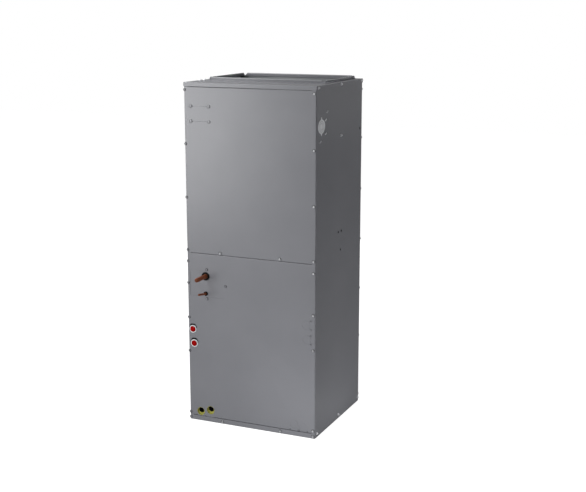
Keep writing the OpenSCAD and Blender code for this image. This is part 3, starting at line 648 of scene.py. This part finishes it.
def add_knockout_rim():
    """Zinc rim round the conduit knock-out."""
    low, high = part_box("conduit_knockout")
    middle = (low + high) / 2
    hole_r = (high.y - low.y) / 2
    half_width, half_height, thickness = KNOCKOUT_RIM
    rim = round_blank(1, thickness, sides=96)
    pick_faces(rim, lambda face: True)
    bpy.ops.transform.resize(value=(half_width, half_height, 1))
    close_edit()
    rim.data.transform(QUARTER_X)
    cut_round(rim, hole_r + FILLER_FIT)
    seat(rim, (RIGHT_X, middle.y, middle.z), QUARTER_Z)
    round_edges(rim, KNOCKOUT_RIM_EDGE)
    paint_piece(rim, SHEEN_PAINTED_ZINC)
    finish_piece(rim, "conduit_knockout_rim")


def add_hole_shade_bushes():
    """Thin black bushes in the small holes of the right side, whose black is painted shade that widens the
    dark of each hole.
    """
    bush = round_blank(BUSH_R, BUSH_T, sides=32)
    pick_faces(bush, is_top)
    bpy.ops.mesh.inset(thickness=BUSH_R - BUSH_BORE_R)
    push_face(-BUSH_BORE_L)
    close_edit()
    round_edges(bush, BUSH_EDGE)
    # Black: painted shade round each small hole
    paint_piece(bush, RUBBER)
    places = [(RIGHT_X, y, z) for y, z in SIDE_HOLES]
    set_out(bush, "side_hole_shade_bushes", places, TO_RIGHT)
    bpy.data.objects.remove(bush)


# Duct flanges

SUPPLY_X = 0.278
SUPPLY_Y = (-0.099, 0.262)
FLANGE_SLANT = 0.014
HEM_SIZE = (0.0036, 0.0070)
HEM_EDGE = HEM_SIZE[0] * 0.42
HEM_PROUD = 0.0006
HEM_SMOOTH_ANGLE = 60


def add_flange_hems():
    """Folded hems along the upper edges of the four duct flanges."""
    top = CAP_HIGH.z + HEM_PROUD
    side_x = SUPPLY_X + HEM_PROUD
    side_y = sum(SUPPLY_Y) / 2
    long_x = 2 * (SUPPLY_X - FLANGE_SLANT)
    long_y = SUPPLY_Y[1] - SUPPLY_Y[0] - 2 * FLANGE_SLANT
    across = [(0, SUPPLY_Y[0] - HEM_PROUD, top), (0, SUPPLY_Y[1] + HEM_PROUD, top)]
    along = [(-side_x, side_y, top), (side_x, side_y, top)]
    hems = []
    for length, places, turn in ((long_x, across, UNTURNED), (long_y, along, QUARTER_Z)):
        hem = block_blank((length, *HEM_SIZE), -HEM_SIZE[1] / 2)
        round_edges(hem, HEM_EDGE, segments=4)
        # The hems take the lighter paint: a painted highlight along the flanges' top edges
        paint_piece(hem, HIGHLIGHT_PAINT)
        hems += [copied(hem, "hem", place, turn) for place in places]
        bpy.data.objects.remove(hem)
    finish_piece(join_pieces(hems), "duct_flange_hems", HEM_SMOOTH_ANGLE)


# Drain ports

DRAIN_PORTS = ("primary_drain_port", "overflow_drain_port")
DRAIN_MOUTH_R = 0.0182
DRAIN_BORE_R = 0.0134
DRAIN_BORE_RISE = 0.0046
DRAIN_BORE_SHARE = 0.9
DRAIN_SMOOTH_ANGLE = 25
THREAD_PITCH = 0.002
THREAD_TURNS = 3
THREAD_LEAD = 0.002
THREAD_TAPER = 0.97
LEDGE_DEPTH = THREAD_LEAD + THREAD_TURNS * THREAD_PITCH
# Slack for telling the faces of the bore from the ledge round it
BORE_SLACK = 1.01
LEDGE_SLACK = 0.0001


def add_drain_ports():
    """Moulded ports with thread ridges in their mouths and a black bore above the middle, whose black is
    painted shade of the port's depth.
    """
    low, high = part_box(DRAIN_PORTS[0])
    radius = (high.x - low.x) / 2
    length = high.y - low.y
    port = round_blank(radius, length, -length, sides=64)
    pick_faces(port, is_top)
    bpy.ops.mesh.inset(thickness=radius - DRAIN_MOUTH_R)
    push_face(-THREAD_LEAD)
    for _ in range(THREAD_TURNS):
        push_face(-THREAD_PITCH / 2, THREAD_TAPER)
        push_face(-THREAD_PITCH / 2, 1 / THREAD_TAPER)
    bpy.ops.mesh.inset(thickness=DRAIN_MOUTH_R - DRAIN_BORE_R)
    bpy.ops.transform.translate(value=(0, DRAIN_BORE_RISE, 0))
    push_face(-(length - LEDGE_DEPTH) * DRAIN_BORE_SHARE)
    close_edit()
    # The deep faces of the bore take black pan plastic: painted shade of the port's depth
    port.data.materials.append(YELLOW)
    port.data.materials.append(PAN)
    for face in port.data.polygons:
        reach = math.hypot(face.center.x, face.center.y - DRAIN_BORE_RISE)
        in_bore = reach < DRAIN_BORE_R * BORE_SLACK and face.center.z < -LEDGE_DEPTH - LEDGE_SLACK
        face.material_index = int(in_bore)
    set_mouldings(port, DRAIN_PORTS, low.y, smooth_angle=DRAIN_SMOOTH_ANGLE)


def add_drain_fillers():
    """Painted plates that close the panel's notches below the drain ports."""
    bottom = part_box("lower_front_panel")[0].z
    fillers = []
    for node in DRAIN_PORTS:
        middle, radius = port_circle(node)
        height = middle.z - bottom
        plate = block_blank((2 * (radius + 2 * FILLER_FIT), SHEET_T, height), -height / 2)
        cut_round(plate, radius + FILLER_FIT)
        seat(plate, (middle.x, FRONT_Y + SHEET_T / 2, middle.z))
        paint_piece(plate, PAINT)
        fillers.append(plate)
    finish_piece(join_pieces(fillers), "drain_notch_fillers")


# Side ports

SIDE_PORTS = ("upper_side_port", "lower_side_port")
PORT_PLUGS = ("upper_port_plug", "lower_port_plug")
SIDE_PORT_DROP = 0.0030
SIDE_FLANGE_R = 0.0178
SIDE_FLANGE_T = 0.0014
SIDE_FLANGE_EDGE = SIDE_FLANGE_T * 0.2
SIDE_FLANGE_Y = FRONT_Y - 0.0020
SIDE_TUBE_R = 0.013
SIDE_BORE_R = 0.0112
SIDE_BORE_L = 0.021

PLUG_HEAD_R = 0.0132
PLUG_HEAD_T = 0.0020
PLUG_HEAD_EDGE = PLUG_HEAD_T * 0.25
PLUG_RIM = PLUG_HEAD_R * 0.3
PLUG_DISH = PLUG_HEAD_T * 0.12
PLUG_DISH_TAPER = 0.96
PLUG_SHANK_SHARE = 0.84
PLUG_SHANK_L = SIDE_BORE_L * 0.95
PLUG_SHANK_EDGE = PLUG_HEAD_T * 0.1

PORT_HOLE_R = 0.018
PORT_HOLE_SHIFT = (0.0017, 0, 0.0042)
# Round cuts that make up the slot for the tube: radius and rise
PORT_SLOT_CUTS = ((0.0135, -0.0030), (0.0125, 0.0030), (0.0125, 0.0100))


def add_side_ports():
    """White ports with a flat flange near the panel and a bore for their plugs."""
    port = round_blank(SIDE_FLANGE_R, SIDE_FLANGE_T, -SIDE_FLANGE_T, sides=64)
    pick_faces(port, is_foot)
    bpy.ops.mesh.inset(thickness=SIDE_FLANGE_R - SIDE_TUBE_R)
    push_face(SIDE_FLANGE_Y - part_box(SIDE_PORTS[0])[1].y + SIDE_FLANGE_T)
    close_edit()
    pick_faces(port, is_top)
    bpy.ops.mesh.inset(thickness=SIDE_FLANGE_R - SIDE_BORE_R)
    push_face(-SIDE_BORE_L)
    close_edit()
    round_edges(port, SIDE_FLANGE_EDGE)
    paint_piece(port, WHITE)
    set_mouldings(port, SIDE_PORTS, SIDE_FLANGE_Y, -SIDE_PORT_DROP)


def add_port_plugs():
    """Red plugs with a rounded, slightly dished head, seated on their ports' flanges."""
    head = round_blank(PLUG_HEAD_R, PLUG_HEAD_T, sides=64)
    round_edges(head, PLUG_HEAD_EDGE, segments=3)
    pick_faces(head, is_top)
    bpy.ops.mesh.inset(thickness=PLUG_RIM)
    push_face(-PLUG_DISH, PLUG_DISH_TAPER)
    close_edit()
    paint_piece(head, RED)
    shank_r = port_circle(PORT_PLUGS[0])[1] * PLUG_SHANK_SHARE
    shank = round_blank(shank_r, PLUG_SHANK_L, -PLUG_SHANK_L, sides=64)
    round_edges(shank, PLUG_SHANK_EDGE)
    paint_piece(shank, RED)
    plug = join_pieces([head, shank])
    set_mouldings(plug, PORT_PLUGS, SIDE_FLANGE_Y, -SIDE_PORT_DROP)


def add_port_fillers():
    """Painted plates round the side ports, which leave the panel's holes open above the tubes only."""
    plate = round_blank(PORT_HOLE_R - FILLER_FIT, SHEET_T, -SHEET_T / 2, sides=96)
    seat(plate, PORT_HOLE_SHIFT, QUARTER_X)
    for radius, rise in PORT_SLOT_CUTS:
        cut_round(plate, radius, rise)
    paint_piece(plate, PAINT)
    middles = [port_circle(node)[0] for node in SIDE_PORTS]
    places = [(middle.x, FRONT_Y + SHEET_T / 2, middle.z) for middle in middles]
    set_out(plate, "port_hole_fillers", places, UNTURNED)
    bpy.data.objects.remove(plate)


# Coil fins

FIN_PITCH = 0.0026
FIN_T = 0.0004
FIN_TUBE_R = 0.005
FIN_TUBE_ROWS = 10
FIN_TUBE_INSET = 0.001
FIN_TUBE_EDGE = 0.0008


def add_coil_fins(node, side):
    """Stack of thin fins with tubes through them, in the outline of a coil slab."""
    low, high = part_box(node)
    height = high.z - low.z
    length = high.y - low.y
    # The slab's faces lean at one slope, so its thickness is its box less the lean
    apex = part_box("coil_apex_cap")[1].x
    foot_out = high.x if side > 0 else -low.x
    lean = foot_out - apex
    thick = (high.x - low.x) - lean
    foot_x = side * (foot_out - thick / 2)

    fin = block_blank((thick, FIN_T, height))
    pick_faces(fin, is_top)
    bpy.ops.transform.translate(value=(-side * lean, 0, 0))
    close_edit()
    seat(fin, (foot_x, low.y + FIN_PITCH, low.z + height / 2))
    stack = fin.modifiers.new("stack", "ARRAY")
    stack.use_relative_offset = False
    stack.use_constant_offset = True
    stack.constant_offset_displace = (0, FIN_PITCH, 0)
    stack.count = int((length - 2 * FIN_PITCH) / FIN_PITCH)
    bpy.ops.object.modifier_apply(modifier=stack.name)
    paint_piece(fin, FIN)

    tube_l = length - 2 * FIN_TUBE_INSET
    tube = round_blank(FIN_TUBE_R, tube_l, -tube_l / 2, sides=16)
    round_edges(tube, FIN_TUBE_EDGE)
    paint_piece(tube, COPPER)
    pieces = [fin]
    for row in range(FIN_TUBE_ROWS):
        share = (row + 0.5) / FIN_TUBE_ROWS
        place = (foot_x - side * lean * share, (low.y + high.y) / 2, low.z + height * share)
        pieces.append(copied(tube, "coil_tube", place, QUARTER_X))
    bpy.data.objects.remove(tube)

    piece = finish_piece(join_pieces(pieces), f"{node}_fins")
    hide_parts(node)


# Studio

FLOOR_HALF = 12.0
FLOOR_DROP = 0.0005
FLOOR_TONE = 0.5
FLOOR_ROUGHNESS = 0.9
FLOOR_GLOW = 0.93
# Strengths of the white world as light and in the gloss
AMBIENT = 0.12
MIRRORED = 0.3

# Soft boxes: name, place, aim, width and height, watts, beam angle in degrees, and whether the gloss
# shows the lamp; those that it doesn't show light the paint without a spot
LAMPS = (
    ("key_box", (-2.95, -4.2, 1.42), (-0.1, 0, 1.42), (1.8, 2.6), 91, 180, True),
    ("high_box", (-2.0, -3.4, 3.3), (-0.1, 0, 1.3), (2.0, 1.2), 56, 180, True),
    ("top_box", (-1.0, -0.2, 2.4), (-0.3, 0, 1.54), (0.5, 0.5), 12, 180, True),
    ("flange_box", (0.2, 0, 2.6), (0, 0, 1.54), (0.3, 0.3), 1.5, 180, True),
    ("front_box", (0.2, -1.6, 0.65), (0.1, -0.27, 0.65), (0.5, 0.5), 2.4, 180, False),
    ("low_box", (0.31, -0.75, 0.12), (0.31, -0.27, 0.12), (0.3, 0.2), 0.7, 180, False),
    ("back_box", (-1.6, 3.6, 0.85), (-0.1, 0.2, 0.85), (1.6, 1.2), 22, 180, True),
    ("right_box", (2.4, 0.2, 0.7), (0.31, 0, 0.7), (0.5, 0.3), 11.2, 180, False),
    ("foot_box", (0.61, 0, 0.05), (0.31, 0, 0.05), (0.5, 0.08), 0.30, 180, False),
    ("edge_box", (1.6, 0.08, 1.70), (-0.278, 0.08, 1.5396), (0.6, 0.02), 0.07, 6, True),
)


def add_floor():
    """Pale floor that shows white to the camera and keeps a soft shadow."""
    deselect_all()
    bpy.ops.mesh.primitive_plane_add(size=2 * FLOOR_HALF, location=(0, 0, -FLOOR_DROP))
    floor = bpy.context.object
    floor.name = "floor"
    finish, tree, shader = new_finish("pale_floor")
    shader.inputs["Base Color"].default_value = (FLOOR_TONE, FLOOR_TONE, FLOOR_TONE, 1)
    shader.inputs["Roughness"].default_value = FLOOR_ROUGHNESS
    glow = tree.nodes.new("ShaderNodeEmission")
    glow.inputs["Color"].default_value = (1, 1, 1, 1)
    glow.inputs["Strength"].default_value = FLOOR_GLOW
    lit = tree.nodes.new("ShaderNodeAddShader")
    tree.links.new(shader.outputs["BSDF"], lit.inputs[0])
    tree.links.new(glow.outputs["Emission"], lit.inputs[1])
    ray = tree.nodes.new("ShaderNodeLightPath")
    choose = tree.nodes.new("ShaderNodeMixShader")
    tree.links.new(ray.outputs["Is Camera Ray"], choose.inputs["Fac"])
    tree.links.new(shader.outputs["BSDF"], choose.inputs[1])
    tree.links.new(lit.outputs["Shader"], choose.inputs[2])
    tree.links.new(choose.outputs["Shader"], tree.nodes["Material Output"].inputs["Surface"])
    floor.data.materials.append(finish)


def add_background(tree, strength):
    """A white background of the given strength."""
    shade = tree.nodes.new("ShaderNodeBackground")
    shade.inputs["Color"].default_value = (1, 1, 1, 1)
    shade.inputs["Strength"].default_value = strength
    return shade.outputs["Background"]


def add_world():
    """White to the camera, a pale room in reflections, soft grey as light."""
    world = bpy.data.worlds.new("studio")
    world.use_nodes = True
    bpy.context.scene.world = world
    tree = world.node_tree
    ray = tree.nodes.new("ShaderNodeLightPath")
    shade = add_background(tree, AMBIENT)
    for kind, strength in (("Is Glossy Ray", MIRRORED), ("Is Camera Ray", 1.0)):
        choose = tree.nodes.new("ShaderNodeMixShader")
        tree.links.new(ray.outputs[kind], choose.inputs["Fac"])
        tree.links.new(shade, choose.inputs[1])
        tree.links.new(add_background(tree, strength), choose.inputs[2])
        shade = choose.outputs["Shader"]
    tree.links.new(shade, tree.nodes["World Output"].inputs["Surface"])


def add_lamp(name, place, aim, size, watts, beam, in_gloss):
    """A soft box aimed at a point."""
    lamp = bpy.data.lights.new(name, "AREA")
    lamp.energy = watts
    lamp.shape = "RECTANGLE"
    lamp.size, lamp.size_y = size
    lamp.spread = math.radians(beam)
    box = bpy.data.objects.new(name, lamp)
    box.location = place
    box.rotation_euler = (Vector(aim) - Vector(place)).to_track_quat("-Z", "Y").to_euler()
    box.visible_camera = False
    box.visible_glossy = in_gloss
    bpy.context.collection.objects.link(box)


# Camera at the photograph's viewing angle: place in metres, turn and dip in degrees
CAMERA_PLACE = (2.0798, -4.5076, 1.8578)
CAMERA_TURN = 23.86
CAMERA_DIP = 12.18
IMAGE_WIDTH_PX = 586
FOCAL_PX = 1111.9
SENSOR_MM = 36.0


def add_camera():
    """The camera that takes the photograph's view."""
    camera = bpy.data.cameras.new("photo_camera")
    camera.sensor_width = SENSOR_MM
    camera.sensor_fit = "HORIZONTAL"
    camera.lens = FOCAL_PX / IMAGE_WIDTH_PX * SENSOR_MM
    view = bpy.data.objects.new("photo_camera", camera)
    view.location = CAMERA_PLACE
    view.rotation_euler = (math.radians(90 - CAMERA_DIP), 0, math.radians(CAMERA_TURN))
    bpy.context.collection.objects.link(view)
    bpy.context.scene.camera = view


dress_nodes()
add_screws()
add_breaker_buttons()
add_slit_strips()
add_wire_lances()
add_flange_hems()
add_drain_ports()
add_drain_fillers()
add_side_ports()
add_port_plugs()
add_port_fillers()
add_knockout_rim()
add_hole_shade_bushes()
add_coil_fins("coil_slab_left", -1)
add_coil_fins("coil_slab_right", 1)
add_floor()
add_world()
for lamp_values in LAMPS:
    add_lamp(*lamp_values)
add_camera()
bpy.context.scene.view_settings.view_transform = "Standard"
